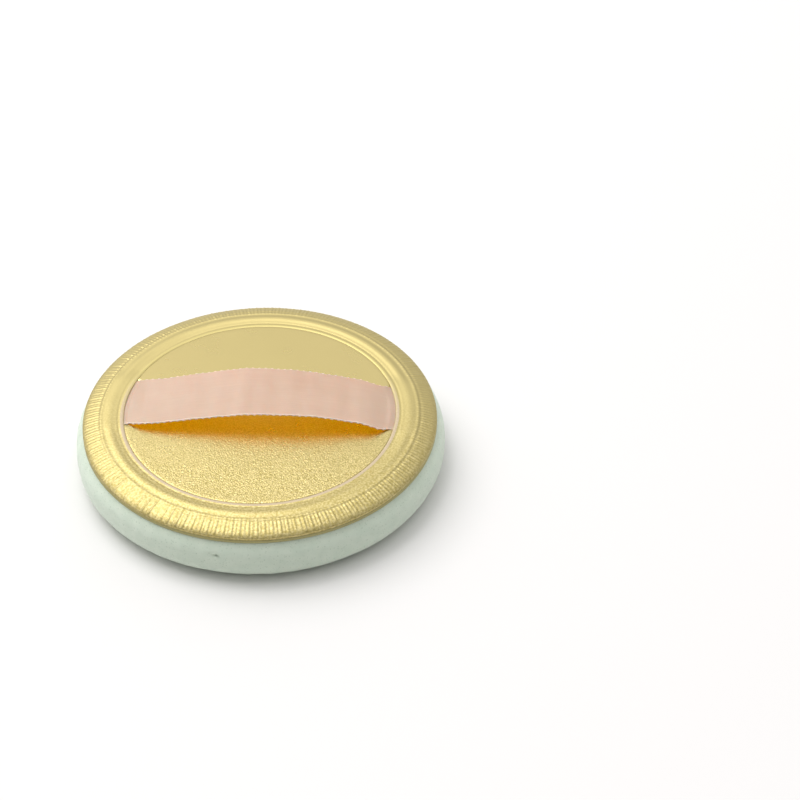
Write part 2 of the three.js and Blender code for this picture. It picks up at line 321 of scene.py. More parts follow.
def cushioned_disc(name, radius, bottom, top, lower_corner, upper_corner, seed):
    """An open-celled sponge disc: round corners and a skin that is never even."""
    outline = np.vstack([
        line((SPONGE_HUB, bottom), (radius - lower_corner, bottom), 16),
        arc(radius - lower_corner, bottom + lower_corner, lower_corner, -90, 0, 5)[1:],
        line((radius, bottom + lower_corner), (radius, top - upper_corner), 3)[:-1],
        arc(radius - upper_corner, top - upper_corner, upper_corner, 0, 90, 4),
        line((radius - upper_corner, top), (SPONGE_HUB, top), 16),
    ])
    grid = turned(outline, SPONGE_AROUND)
    middle = np.array([0, 0, (bottom + top) / 2])
    away = grid - middle
    dent = SPONGE_DENT * (1 + lumps(grid, SPONGE_DENT_WIDTH, seed))
    grid -= away / np.linalg.norm(away, axis=-1)[..., None] * dent[..., None]
    return skin(name, [(grid, [(0, 0, bottom + SPONGE_DENT), (0, 0, top - SPONGE_DENT)])])


# Gold panel

def panel_level(radius):
    """Top of the panel: swollen in the middle, with a soft roll where it meets the ring."""
    share = np.clip((radius - (ring_inner - CREASE_WIDTH)) / CREASE_WIDTH, 0.0, 1.0)
    return panel_top + PANEL_SWELL - CREASE_ROLL * share ** 2


def tail_level(radius):
    """Level that a tail of the strap lies on: it bends down from the panel to below the ring."""
    return panel_level(radius) - (panel_level(ring_inner) - panel_rim) * smooth_step(
        radius, ring_inner - TAIL_BEND, ring_inner)


def make_gold_panel():
    """The grained disc of the back, and for each of its faces whether it is the cut edge (1)."""
    bottom = panel_rim - PANEL_THICKNESS
    flat_radius = ring_inner - CREASE_WIDTH
    crease = np.linspace(flat_radius + 0.1 * CREASE_WIDTH, ring_inner, 6)
    middle = np.concatenate([np.linspace(PANEL_HUB, flat_radius, 40), crease])
    middle[-1] = ring_inner - touching
    top_line = np.vstack([np.stack([middle, panel_level(middle)], 1),
                          [(ring_inner - touching / 2, panel_rim)],
                          line((ring_inner, panel_rim), (pressed_start, panel_rim), 4),
                          line((pressed_start, panel_rim),
                               (back_radius - PANEL_EDGE_BEVEL, panel_rim - PRESSED_DROP), 6)])
    edge = np.array([[back_radius, panel_rim - PRESSED_DROP - PANEL_EDGE_BEVEL],
                     [back_radius, bottom - PRESSED_DROP + PANEL_UNDER_BEVEL],
                     [back_radius - PANEL_UNDER_BEVEL, bottom - PRESSED_DROP]])
    under = np.vstack([line(edge[-1], (pressed_start, bottom), 3),
                       line((pressed_start, bottom), (PANEL_UNDER_HUB, bottom), 6)])
    outline = np.vstack([top_line, edge, under])
    grid = turned(outline, PANEL_AROUND)
    # The sheet follows the sponge below it, so it dips softly, by up to 0.03 mm.
    is_top = np.arange(len(outline)) < len(middle)
    inner = 1 - smooth_step(outline[:, 0], ring_inner - DIP_FADE, ring_inner)
    dip = WIDE_DIP * (1 + lumps(grid, WIDE_DIP_WIDTH, seed=5))
    dip = dip + SMALL_DIP * (1 + lumps(grid, SMALL_DIP_WIDTH, seed=6))
    grid[..., 2] -= is_top * inner * dip
    # It gives way under the tails of the strap.
    angles = np.arange(PANEL_AROUND) * 2 * math.pi / PANEL_AROUND
    below_tail = over_tail(angles, outline[:, 0], PANEL_FLANK)
    grid[..., 2] -= is_top * below_tail * (panel_level(outline[:, 0]) - tail_level(outline[:, 0]))
    centre_dip = float(grid[:, 0, 2].mean())
    piece = skin("gold_panel", [(grid, [(0, 0, centre_dip), (0, 0, bottom)])])
    cut_edge = np.zeros(len(outline) - 1, int)
    cut_edge[len(top_line) - 1:len(top_line) + 2] = 1
    tip_faces = len(piece.data.polygons) - PANEL_AROUND * len(cut_edge)
    return piece, np.concatenate([np.tile(cut_edge, PANEL_AROUND), np.zeros(tip_faces, int)])


# Pressed ring

def ring_levels():
    """Place across the ring and height of its top, on a crest and in a valley."""
    middle_groove = ring_land - GROOVE_FALL
    outer_groove = middle_groove - GROOVE_FALL - pressed_by(ring_inner + OUTER_GROOVE)
    inner_bead = ring_land + INNER_BEAD_HEIGHT
    outer_bead = middle_groove + OUTER_BEAD_HEIGHT
    rib_head = outer_groove + RIB_HEAD_HEIGHT
    edge_top = ring_edge_bottom + RING_EDGE_THICKNESS
    shared = [
        (0.0, ring_land - 0.09), (0.2, ring_land), (0.35, ring_land + 0.01), (0.7, ring_land - 0.03),
        (0.82, ring_land - 0.06), (1.05, ring_land), (1.35, ring_land + 0.01),
        (1.9, inner_bead), (2.3, inner_bead), (2.9, middle_groove), (BEADS_END, middle_groove),
    ]
    crest = shared + [
        (3.35, outer_bead), (3.5, outer_bead), (OUTER_GROOVE, outer_groove + 0.04),
        (4.05, rib_head), (5.15, rib_head - 0.37), (5.6, edge_top + 0.42),
        (5.9, edge_top + 0.26), (6.08, edge_top + 0.1), (RING_WIDTH, edge_top - RING_EDGE_ROUND),
    ]
    valley = shared + [
        (3.35, outer_bead - 0.05), (3.5, outer_bead - 0.05), (OUTER_GROOVE, outer_groove + 0.01),
        (4.05, rib_head - 0.09), (5.15, rib_head - 0.46), (5.6, edge_top + 0.31),
        (5.9, edge_top + 0.14), (6.08, edge_top + 0.01), (RING_WIDTH, edge_top - RING_EDGE_ROUND),
    ]
    return np.array(crest), np.array(valley)


def rounded(table, places, softness):
    """Heights of a table of corners at the places, with the corners rounded. softness is how
    widely they are rounded, in mm, at each place."""
    total = np.zeros_like(places)
    weights = np.zeros_like(places)
    for offset in np.arange(-ROUNDING_REACH, ROUNDING_REACH + ROUNDING_STEP / 2, ROUNDING_STEP):
        weight = np.exp(-0.5 * (offset / softness) ** 2)
        total += weight * np.interp(places + offset, table[:, 0], table[:, 1])
        weights += weight
    return total / weights


def make_pressed_ring():
    """The hot-pressed ring, and for each of its faces whether it carries the lip's painted highlight (1)."""
    around = RIB_COUNT * POINTS_PER_RIB
    chance = np.random.default_rng(seed=11)
    # Points across the top lie closest together at the outer edge and widest along the ribs.
    places = np.concatenate([
        np.arange(BEAD_STEP / 2, RIBS_START, BEAD_STEP), np.arange(RIBS_START, RIBS_END, RIB_STEP),
        np.arange(RIBS_END, RING_WIDTH, EDGE_STEP)])
    crest_table, valley_table = ring_levels()
    softness = np.where(places < LIP_WIDTH, LIP_SOFTNESS,
                        np.where(places < BEADS_END, BEAD_SOFTNESS, RIB_SOFTNESS))
    crest = rounded(crest_table, places, softness)
    valley = rounded(valley_table, places, softness)

    # Each rib has its own height and leans a little to one side, as hot pressing leaves them.
    step = np.arange(around)
    half_rib = POINTS_PER_RIB // 2
    rib = ((step + half_rib) // POINTS_PER_RIB) % RIB_COUNT
    u = ((step + half_rib) % POINTS_PER_RIB) / POINTS_PER_RIB - 0.5
    height = 1 + RIB_UNEVENNESS * chance.standard_normal(RIB_COUNT)
    height = np.clip(height, RIB_LOWEST, RIB_HIGHEST)
    lean = np.clip(RIB_LEAN * chance.standard_normal(RIB_COUNT), -RIB_MOST_LEAN, RIB_MOST_LEAN)
    u = u + lean[rib] * (1 - 4 * u * u)
    # The crest of a rib is flanked by a fine fold in the valley beside it.
    crest_wave, fold_wave = np.cos(2 * math.pi * u), np.cos(4 * math.pi * u)
    share = (RIB_MEAN + RIB_SWELL * crest_wave + RIB_FOLD * fold_wave) * height[rib]

    # A tail of the strap lies under the ring on each side: there the sheet is lifted off the
    # panel, and its beads are stretched flatter.
    angles = step * 2 * math.pi / around
    top_r, top_share = ring_inner + places, over_tail(angles, ring_inner + places, RING_FLANK)
    top = np.empty((around, len(places), 2))
    top[..., 0] = top_r
    top[..., 1] = valley + (crest - valley) * share[:, None]
    beads = np.clip(top[..., 1] - ring_land, 0.0, None)
    top[..., 1] += top_share * (TAIL_LIFT - 0.5 * beads)

    # The underside, from the outer edge in, lies on the panel and leaves a slot for each tail.
    under_r = ring_inner + np.array([6.12, 5.3, 4.4, 3.3, 2.6, 1.8, 1.1, 0.5, 0.0])
    pressed = np.array([pressed_by(r) for r in under_r])
    tail_room = RIBBON_THICKNESS + 2 * touching
    under = np.empty((around, len(under_r), 2))
    under[..., 0] = under_r
    under[..., 1] = panel_rim + touching - pressed + tail_room * over_tail(angles, under_r, RING_FLANK)

    outer_wall = np.empty((around, 3, 2))
    edge_top = top[:, -1, 1]
    # The ribs run on down the outer edge, where the sheet is pressed in between them.
    between_ribs = np.clip(1 - share, 0.0, 1.0)[:, None]
    outer_wall[..., 0] = back_radius - between_ribs * np.array(EDGE_PRESS_IN)
    outer_wall[:, 0, 1] = edge_top - RING_EDGE_ROUND
    outer_wall[:, 1, 1] = (edge_top - RING_EDGE_ROUND + ring_edge_bottom) / 2
    outer_wall[:, 2, 1] = ring_edge_bottom
    # The inner wall has one point below its middle and one close to its top.
    inner_wall = np.empty((around, 2, 2))
    inner_wall[..., 0] = ring_inner
    inner_wall[:, 0, 1] = under[:, -1, 1] * 0.6 + top[:, 0, 1] * 0.4
    inner_wall[:, 1, 1] = under[:, -1, 1] * 0.1 + top[:, 0, 1] * 0.9

    section = np.concatenate([top, outer_wall, under, inner_wall], axis=1)
    grid = np.empty((around, section.shape[1], 3))
    grid[..., 0] = np.cos(angles)[:, None] * section[..., 0]
    grid[..., 1] = np.sin(angles)[:, None] * section[..., 0]
    grid[..., 2] = section[..., 1]
    is_top = np.arange(section.shape[1]) < len(places)
    grid[..., 2] -= is_top * RING_UNEVENNESS * (1 + lumps(grid, RING_UNEVENNESS_WIDTH, seed=8))
    # The first rows of the lip take the finish with the painted highlight.
    lip = np.zeros(section.shape[1], int)
    lip[:LIP_HIGHLIGHT_ROWS] = 1
    return skin("pressed_ring", [(grid, None)]), np.tile(lip, around)


def over_tail(angles, radii, flank):
    """How much of a tail of the strap lies below each place, from 0 to 1. Beside a tail it
    fades to 0 over the width of the flank."""
    x, y = np.cos(angles)[:, None] * radii, np.sin(angles)[:, None] * radii
    along = x * math.cos(RIBBON_TURN) + (y - RIBBON_OFFSET) * math.sin(RIBBON_TURN)
    across = (y - RIBBON_OFFSET) * math.cos(RIBBON_TURN) - x * math.sin(RIBBON_TURN)
    across = np.abs(across - arch_at(along, 3))
    ends = 1 - smooth_step(np.abs(along), TAIL_REACH + TAIL_END_ROOM, TAIL_REACH + TAIL_END_FADE)
    sides = 1 - smooth_step(across, RIBBON_WIDTH / 2, RIBBON_WIDTH / 2 + flank)
    return ends * sides


# Satin strap

# Distance along the strap from the middle, height of its middle over its tails, how much its
# back edge stands higher than its middle, and how far it has slipped to the back, in mm. A slip
# below zero is to the front.
ARCH = np.array([
    (-30.0, 0.0, 0.0, 0.0), (-19.1, 0.0, 0.0, 0.0), (-18.4, 0.28, 0.03, -0.45), (-17.2, 0.72, 0.06, -0.8),
    (-14.6, 1.16, 0.08, -1.0), (-11.0, 1.74, 0.17, -0.92), (-8.3, 2.12, 0.22, -0.8),
    (-5.6, 2.56, 0.29, -0.72),
    (-2.0, 3.0, 0.34, -0.7), (1.0, 2.98, 0.27, -0.62), (5.0, 2.86, 0.2, -0.59), (8.6, 2.46, 0.02, -0.58),
    (11.2, 2.1, 0.0, -0.6), (13.0, 1.74, 0.0, -0.56), (14.9, 1.42, -0.04, -0.62), (16.5, 1.04, -0.1, -0.85),
    (18.0, 0.4, -0.05, -0.8), (19.0, 0.0, 0.0, -0.3), (19.6, 0.0, 0.0, 0.0), (30.0, 0.0, 0.0, 0.0),
])
ARCH_REACH, ARCH_STEP = 28.0, 0.05
ARCH_ROUNDING = 60  # steps to each side that are looked at when a corner is rounded


def arch_at(x, column):
    """A column of ARCH at x, with its corners rounded: softly in the middle, where the ribbon
    is free, and sharply at its right end, where it is creased."""
    fine = np.arange(-ARCH_REACH, ARCH_REACH, ARCH_STEP)
    heights = np.interp(fine, ARCH[:, 0], ARCH[:, column])
    softness = np.where(fine > RIGHT_CREASE, CREASE_SOFTNESS,
                        np.where(fine < LEFT_BEND, BEND_SOFTNESS, FREE_SOFTNESS))
    result = np.zeros_like(fine)
    total = np.zeros_like(fine)
    for offset in np.arange(-ARCH_ROUNDING, ARCH_ROUNDING + 1) * ARCH_STEP:
        weight = np.exp(-0.5 * (offset / softness) ** 2)
        result += weight * np.interp(fine + offset, fine, heights)
        total += weight
    return np.interp(x, fine, result / total)


def ribbon_surface(x, v):
    """Middle surface of the ribbon at x along it and v across it, -1 at the front edge."""
    rise, twist, slip = (arch_at(x, column) for column in (1, 2, 3))
    cup = RIBBON_CUP * (1 - v * v) * smooth_step(rise, CUP_START, CUP_FULL)
    # The free part waves a little, which shows as soft light bands across it.
    (slow, slow_start), (quick, quick_start) = RIBBON_WAVES
    waves = np.sin(slow * x + slow_start) * np.sin(quick * x + quick_start)
    cup = cup + RIBBON_WAVE * waves * smooth_step(rise, WAVE_START, WAVE_FULL)
    # Its ends follow the panel down into the crease.
    y = v * RIBBON_WIDTH / 2 + slip
    lying = tail_level(np.hypot(x, y + RIBBON_OFFSET)) + touching + RIBBON_THICKNESS / 2
    z = lying + rise + twist * v + cup
    return np.stack([x + 0 * v, y, z], -1)


def ribbon_normal(x, v):
    """The way that the ribbon's upper side faces, at x along it and v across it."""
    beside = 0.05
    along = ribbon_surface(x + beside, v) - ribbon_surface(x - beside, v)
    across = ribbon_surface(x, v + beside) - ribbon_surface(x, v - beside)
    normal = np.cross(along, across)
    return normal / np.linalg.norm(normal, axis=-1)[..., None]


def make_ribbon():
    """The ribbon with its picots, and the finish of each of its faces."""
    x = np.linspace(-TAIL_REACH, TAIL_REACH, RIBBON_STEPS)
    selvedge_lanes = np.array(SELVEDGE_LANES)
    satin_lanes = np.linspace(-SATIN_LANES_END, SATIN_LANES_END, SATIN_LANES)
    lanes = np.concatenate([-selvedge_lanes[::-1], satin_lanes, selvedge_lanes])
    # The selvedge is a firm cord of thread, a little fuller than the satin beside it.
    fullness = 0.5 * RIBBON_THICKNESS * np.where(np.abs(lanes) > SELVEDGE_START, 1.0, SATIN_FULLNESS)
    fullness[[0, -1]] *= RIBBON_EDGE_FULLNESS
    v, xx = np.meshgrid(lanes, x, indexing="ij")
    middle, normal = ribbon_surface(xx, v), ribbon_normal(xx, v)
    upper = middle + normal * fullness[:, None, None]
    lower = middle - normal * fullness[:, None, None]
    grid = np.concatenate([upper, lower[::-1]])
    tips = [ribbon_surface(np.array(end), np.array(0.0)) for end in (x[0], x[-1])]
    shells = [(grid, tips)]

    # Picots: small loops of weft thread that stand out of both edges.
    turn = np.linspace(0, math.pi, PICOT_STEPS)
    ring = np.arange(THREAD_SIDES) * 2 * math.pi / THREAD_SIDES
    for side in (-1.0, 1.0):
        for centre in np.arange(-PICOT_REACH, PICOT_REACH + touching, PICOT_PITCH):
            xs = centre - PICOT_HALF_WIDTH * np.cos(turn)
            base = ribbon_surface(xs, np.full_like(xs, side))
            up = ribbon_normal(xs, np.full_like(xs, side))
            outward = np.array([0, side, 0])
            path = base + outward * (PICOT_OUT * np.sin(turn) - PICOT_ROOT)[:, None]
            flat = np.stack([np.cos(turn) * -1, np.sin(turn) * side, 0 * turn], 1)
            tube = path[None] + PICOT_THREAD * (
                np.cos(ring)[:, None, None] * flat[None] + np.sin(ring)[:, None, None] * up[None])
            shells.append((tube, [path[0], path[-1]]))
    spin = np.array([[math.cos(RIBBON_TURN), -math.sin(RIBBON_TURN), 0],
                     [math.sin(RIBBON_TURN), math.cos(RIBBON_TURN), 0], [0, 0, 1]])
    shift = np.array([0, RIBBON_OFFSET, 0])
    placed = [(g @ spin.T + shift, np.array(t) @ spin.T + shift) for g, t in shells]
    piece = skin("satin_strap", placed)
    ribbon_faces = grid.shape[0] * (grid.shape[1] - 1) + 2 * grid.shape[0]
    # Each face belongs to the satin's upper side (0), its lower side (1), or the thread (2) of the
    # picots and the selvedge.
    lane = np.tile(np.arange(grid.shape[1] - 1), grid.shape[0])
    row = np.repeat(np.arange(grid.shape[0]), grid.shape[1] - 1)
    which = np.full(len(piece.data.polygons), 2)
    which[:ribbon_faces] = 0
    which[:len(lane)] = np.where((row >= len(lanes)) & (row < 2 * len(lanes) - 1), 1, 0)
    selvedge = np.abs(np.concatenate([lanes, lanes[::-1]])[row]) > THREAD_START
    which[:len(lane)][selvedge] = 2
    return piece, which


# Finishes

def tint(hex_code, alpha=1.0):
    """An sRGB hex colour as linear red, green, blue and alpha."""
    parts = [int(hex_code[i:i + 2], 16) / 255 for i in (1, 3, 5)]
    return [p / 12.92 if p <= 0.04045 else ((p + 0.055) / 1.055) ** 2.4 for p in parts] + [alpha]


def add(tree, kind, inputs=(), **settings):
    """Adds a node. settings are its own; inputs give a socket a value or another node's output."""
    made = tree.nodes.new(kind)
    for name, value in settings.items():
        setattr(made, name, value)
    for key, value in dict(inputs).items():
        if isinstance(value, bpy.types.NodeSocket):
            tree.links.new(value, made.inputs[key])
        else:
            made.inputs[key].default_value = value
    return made


def finish(name):
    """A new material with an empty node tree."""
    made = bpy.data.materials.new(name)
    made.use_nodes = True
    made.node_tree.nodes.clear()
    return made, made.node_tree


PER_M = 1000.0  # a pattern of 1 mm has this scale in metres


def mint_foam():
    """Microporous foam, moulded and then ground: dull and powdery, with a smooth face and an
    open-pored side, so it shows fine dark pores and no highlight."""
    made, tree = finish("mint_foam_ground")
    place = add(tree, "ShaderNodeTexCoord").outputs["Object"]
    # Real cells are under 0.1 mm; these are drawn at 0.3 to 0.4 mm, the finest that shows.
    cells = add(tree, "ShaderNodeTexVoronoi", {"Vector": place, "Scale": PER_M / 0.42, "Randomness": 1.0})
    grit = add(tree, "ShaderNodeTexNoise", {
        "Vector": place, "Scale": PER_M / 0.35, "Detail": 3.0, "Roughness": 0.6})
    blotch = add(tree, "ShaderNodeTexNoise", {"Vector": place, "Scale": PER_M / 1.6, "Detail": 3.0})
    pores = add(tree, "ShaderNodeMapRange", {
        "Value": cells.outputs["Distance"], "From Min": 0.05, "From Max": 0.3})
    pick = add(tree, "ShaderNodeMapRange", {"Value": grit.outputs["Fac"], "From Min": 0.42, "From Max": 0.62})
    open_pores = add(tree, "ShaderNodeMath", {0: pores.outputs[0], 1: pick.outputs[0]}, operation="MAXIMUM")
    base = add(tree, "ShaderNodeMix", {
        0: blotch.outputs["Fac"], 6: tint("#cdddca"), 7: tint("#e4eedd")}, data_type="RGBA")
    colour = add(tree, "ShaderNodeMix", {
        0: open_pores.outputs[0], 6: tint("#bccdb8"), 7: base.outputs[2]}, data_type="RGBA")
    height = add(tree, "ShaderNodeMix", {0: 0.55, 2: grit.outputs["Fac"], 3: open_pores.outputs[0]})
    bump = add(tree, "ShaderNodeBump", {"Height": height.outputs[0], "Strength": 0.6, "Distance": 0.08 * MM})
    shade = add(tree, "ShaderNodeBsdfPrincipled", {
        "Base Color": colour.outputs[2], "Roughness": 0.92, "IOR": 1.45, "Normal": bump.outputs[0],
        "Sheen Weight": 0.25, "Sheen Roughness": 0.6})
    add(tree, "ShaderNodeOutputMaterial", {"Surface": shade.outputs[0]})
    return made


def sponge(name, light, dark):
    """Open-celled polyurethane sponge, cut from a block: soft, dull and full of holes."""
    made, tree = finish(name)
    place = add(tree, "ShaderNodeTexCoord").outputs["Object"]
    cells = add(tree, "ShaderNodeTexVoronoi", {"Vector": place, "Scale": PER_M / 0.6})
    colour = add(tree, "ShaderNodeMix", {
        0: cells.outputs["Distance"], 6: tint(dark), 7: tint(light)}, data_type="RGBA")
    bump = add(tree, "ShaderNodeBump", {
        "Height": cells.outputs["Distance"], "Strength": 0.8, "Distance": 0.3 * MM})
    shade = add(tree, "ShaderNodeBsdfPrincipled", {
        "Base Color": colour.outputs[2], "Roughness": 0.95, "IOR": 1.5, "Normal": bump.outputs[0]})
    add(tree, "ShaderNodeOutputMaterial", {"Surface": shade.outputs[0]})
    return made


def clear_film():
    """Polyethylene film, blown and rolled: thin, glossy and faintly blue, a little clouded."""
    made, tree = finish("barrier_film_blown")
    place = add(tree, "ShaderNodeTexCoord").outputs["Object"]
    clouds = add(tree, "ShaderNodeTexNoise", {"Vector": place, "Scale": PER_M / 3.0, "Detail": 1.0})
    colour = add(tree, "ShaderNodeMix", {
        0: clouds.outputs["Fac"], 6: tint("#dfe8ec"), 7: tint("#eef3f5")}, data_type="RGBA")
    shade = add(tree, "ShaderNodeBsdfPrincipled", {
        "Base Color": colour.outputs[2], "Roughness": 0.2, "IOR": 1.51})
    add(tree, "ShaderNodeOutputMaterial", {"Surface": shade.outputs[0]})
    return made


def toward_back(tree, place, start, end):
    """A share that rises from 0 to 1 between two places on the way to the back, in mm."""
    split = add(tree, "ShaderNodeSeparateXYZ", {0: place})
    share = add(tree, "ShaderNodeMapRange", {
        "Value": split.outputs[1], "From Min": start * MM, "From Max": end * MM})
    return share.outputs[0]


def gold_leatherette(name, grain_mm, grain_depth_mm, deep, pale, dull, bright):
    """Polyurethane leatherette laminated with gold foil and then embossed: a soft metallic gold
    that glitters in its grain. The grain is fine pebbles with noise over them, grain_mm wide, and
    it is pressed deeper at the front of the puff than at the back."""
    made, tree = finish(name)
    place = add(tree, "ShaderNodeTexCoord").outputs["Object"]
    warp = add(tree, "ShaderNodeTexNoise", {
        "Vector": place, "Scale": PER_M / grain_mm, "Detail": 2.0, "Roughness": 0.6})
    pebble = add(tree, "ShaderNodeTexVoronoi", {
        "Vector": place, "Scale": PER_M / (1.3 * grain_mm)}, feature="SMOOTH_F1")
    cloud = add(tree, "ShaderNodeTexNoise", {"Vector": place, "Scale": PER_M / 5.0, "Detail": 3.0})
    grain = add(tree, "ShaderNodeMix", {0: 0.5, 2: warp.outputs["Fac"], 3: pebble.outputs["Distance"]})
    depth = add(tree, "ShaderNodeMapRange", {
        "Value": toward_back(tree, place, start=-14, end=10),
        "To Min": grain_depth_mm * MM, "To Max": 0.12 * grain_depth_mm * MM})
    bump = add(tree, "ShaderNodeBump", {
        "Height": grain.outputs[0], "Strength": 1.0, "Distance": depth.outputs[0]})
    # At the front the colour is deeper in the grain's pits and paler on its tops: painted pit shade and
    # painted glints over the grain's own tone. Towards the back it evens out.
    pit_shade_and_glints = add(tree, "ShaderNodeMapRange", {
        "Value": warp.outputs["Fac"], "From Min": 0.38, "From Max": 0.62})
    even = add(tree, "ShaderNodeMix", {
        0: toward_back(tree, place, start=-14, end=6), 2: pit_shade_and_glints.outputs[0], 3: 0.6})
    colour = add(tree, "ShaderNodeMix", {0: even.outputs[0], 6: tint(deep), 7: tint(pale)}, data_type="RGBA")
    gloss = add(tree, "ShaderNodeMapRange", {
        "Value": cloud.outputs["Fac"], "From Min": 0.3, "From Max": 0.7, "To Min": bright, "To Max": dull})
    shade = add(tree, "ShaderNodeBsdfPrincipled", {
        "Base Color": colour.outputs[2], "Metallic": 1.0, "Roughness": gloss.outputs[0],
        "Normal": bump.outputs[0]})
    add(tree, "ShaderNodeOutputMaterial", {"Surface": shade.outputs[0]})
    return made


def lip_painted_highlight():
    """The ring's inner lip, die-cut through the foil. Along its front half it is painted pale and dull,
    a painted highlight; towards the back it is gold."""
    made, tree = finish("leatherette_lip_painted_highlight")
    place = add(tree, "ShaderNodeTexCoord").outputs["Object"]
    # A noise 0.3 mm wide mottles the painted highlight.
    fine_mottle = add(tree, "ShaderNodeTexNoise", {"Vector": place, "Scale": PER_M / 0.3, "Detail": 3.0})
    # Pale and dull at the front is a painted highlight; towards the back the lip is gold.
    gold_towards_back = toward_back(tree, place, start=-1, end=9)
    lip_highlight_tone = add(tree, "ShaderNodeMix", {
        0: fine_mottle.outputs["Fac"], 6: tint("#bba887"), 7: tint("#dac7a8")}, data_type="RGBA")
    colour = add(tree, "ShaderNodeMix", {
        0: gold_towards_back, 6: lip_highlight_tone.outputs[2], 7: tint("#c9bb80")}, data_type="RGBA")
    dull = add(tree, "ShaderNodeMapRange", {"Value": gold_towards_back, "To Min": 0.6, "To Max": 0.55})
    metal = add(tree, "ShaderNodeMapRange", {"Value": gold_towards_back, "To Min": 0.25, "To Max": 1.0})
    shade = add(tree, "ShaderNodeBsdfPrincipled", {
        "Base Color": colour.outputs[2], "Metallic": metal.outputs[0], "Roughness": dull.outputs[0]})
    add(tree, "ShaderNodeOutputMaterial", {"Surface": shade.outputs[0]})
    return made


def leatherette_edge_in_shade():
    """The die-cut edge of the leatherette: undyed polyurethane on a pale fabric backing, dull and fibrous. It
    is drawn dark olive, painted shade along the thin edge under the ring.
    """
    made, tree = finish("leatherette_cut_edge_painted_shade")
    place = add(tree, "ShaderNodeTexCoord").outputs["Object"]
    # Real fibres are 0.02 mm thick; these are drawn at 0.25 mm so that they show.
    fine_mottle = add(tree, "ShaderNodeTexNoise", {"Vector": place, "Scale": PER_M / 0.25, "Detail": 3.0})
    # Dark olive, darker than the pale backing: painted shade on the thin edge.
    colour = add(tree, "ShaderNodeMix", {
        0: fine_mottle.outputs["Fac"], 6: tint("#a79f68"), 7: tint("#b9b07a")}, data_type="RGBA")
    shade = add(tree, "ShaderNodeBsdfPrincipled", {
        "Base Color": colour.outputs[2], "Roughness": 0.7, "IOR": 1.5})
    add(tree, "ShaderNodeOutputMaterial", {"Surface": shade.outputs[0]})
    return made


def pink_satin():
    """Polyester satin ribbon, woven: its long warp floats lie side by side, so it shows a soft
    sheen across the ribbon and faint lines along it."""
    made, tree = finish("pink_satin_woven")
    place = add(tree, "ShaderNodeTexCoord").outputs["Object"]
    # Real warp threads lie 0.06 mm apart; these are drawn at 0.2 mm so that they show.
    straight = add(tree, "ShaderNodeMapping", {
        "Vector": place, "Rotation": (0, 0, -RIBBON_TURN), "Scale": (0.04, 1.0, 0.04)})
    threads = add(tree, "ShaderNodeTexNoise", {
        "Vector": straight.outputs[0], "Scale": PER_M / 0.2, "Detail": 2.0})
    cloud = add(tree, "ShaderNodeTexNoise", {"Vector": place, "Scale": PER_M / 4.0, "Detail": 2.0})
    both = add(tree, "ShaderNodeMix", {0: 0.5, 2: threads.outputs["Fac"], 3: cloud.outputs["Fac"]})
    colour = add(tree, "ShaderNodeMix", {
        0: both.outputs[0], 6: tint("#c8a38b"), 7: tint("#d8b9a2")}, data_type="RGBA")
    bump = add(tree, "ShaderNodeBump", {
        "Height": threads.outputs["Fac"], "Strength": 0.35, "Distance": 0.03 * MM})
    shade = add(tree, "ShaderNodeBsdfPrincipled", {
        "Base Color": colour.outputs[2], "Roughness": 0.42, "IOR": 1.55, "Normal": bump.outputs[0],
        "Sheen Weight": 0.3, "Sheen Roughness": 0.4, "Anisotropic": 0.5,
        "Subsurface Weight": 0.5, "Subsurface Radius": (1.0, 0.45, 0.3), "Subsurface Scale": 0.6 * MM})
    add(tree, "ShaderNodeOutputMaterial", {"Surface": shade.outputs[0]})
    return made


def satin_reverse():
    """The same ribbon from below, lit through its weave: light turns warm on its way through,
    and again between the ribbon and the gold, so the gap under the strap glows orange. It is
    drawn deeper than real satin, because few of those bounces are traced."""
    made, tree = finish("pink_satin_reverse")
    place = add(tree, "ShaderNodeTexCoord").outputs["Object"]
    # A real weave repeats every 0.06 to 0.1 mm; this one is drawn at 0.3 mm so that it shows.
    weave = add(tree, "ShaderNodeTexNoise", {"Vector": place, "Scale": PER_M / 0.3, "Detail": 2.0})
    colour = add(tree, "ShaderNodeMix", {
        0: weave.outputs["Fac"], 6: tint("#ff980c"), 7: tint("#ffa214")}, data_type="RGBA")
    shade = add(tree, "ShaderNodeBsdfPrincipled", {
        "Base Color": colour.outputs[2], "Roughness": 0.6, "IOR": 1.4, "Specular IOR Level": 0.1,
        "Subsurface Weight": 1.0, "Subsurface Radius": (1.0, 0.4, 0.05), "Subsurface Scale": 4.0 * MM})
    add(tree, "ShaderNodeOutputMaterial", {"Surface": shade.outputs[0]})
    return made


def picot_thread():
    """Polyester weft thread in loops at the ribbon's edges: paler than the satin, because the
    loops stand free and catch the light."""
    made, tree = finish("picot_thread_twisted")
    place = add(tree, "ShaderNodeTexCoord").outputs["Object"]
    twist = add(tree, "ShaderNodeTexNoise", {"Vector": place, "Scale": PER_M / 0.15, "Detail": 1.0})
    colour = add(tree, "ShaderNodeMix", {
        0: twist.outputs["Fac"], 6: tint("#f0cdbb"), 7: tint("#f9dccc")}, data_type="RGBA")
    shade = add(tree, "ShaderNodeBsdfPrincipled", {
        "Base Color": colour.outputs[2], "Roughness": 0.5, "IOR": 1.55,
        "Subsurface Weight": 0.8, "Subsurface Radius": (1.0, 0.6, 0.4), "Subsurface Scale": 0.3 * MM})
    add(tree, "ShaderNodeOutputMaterial", {"Surface": shade.outputs[0]})
    return made


# The puff

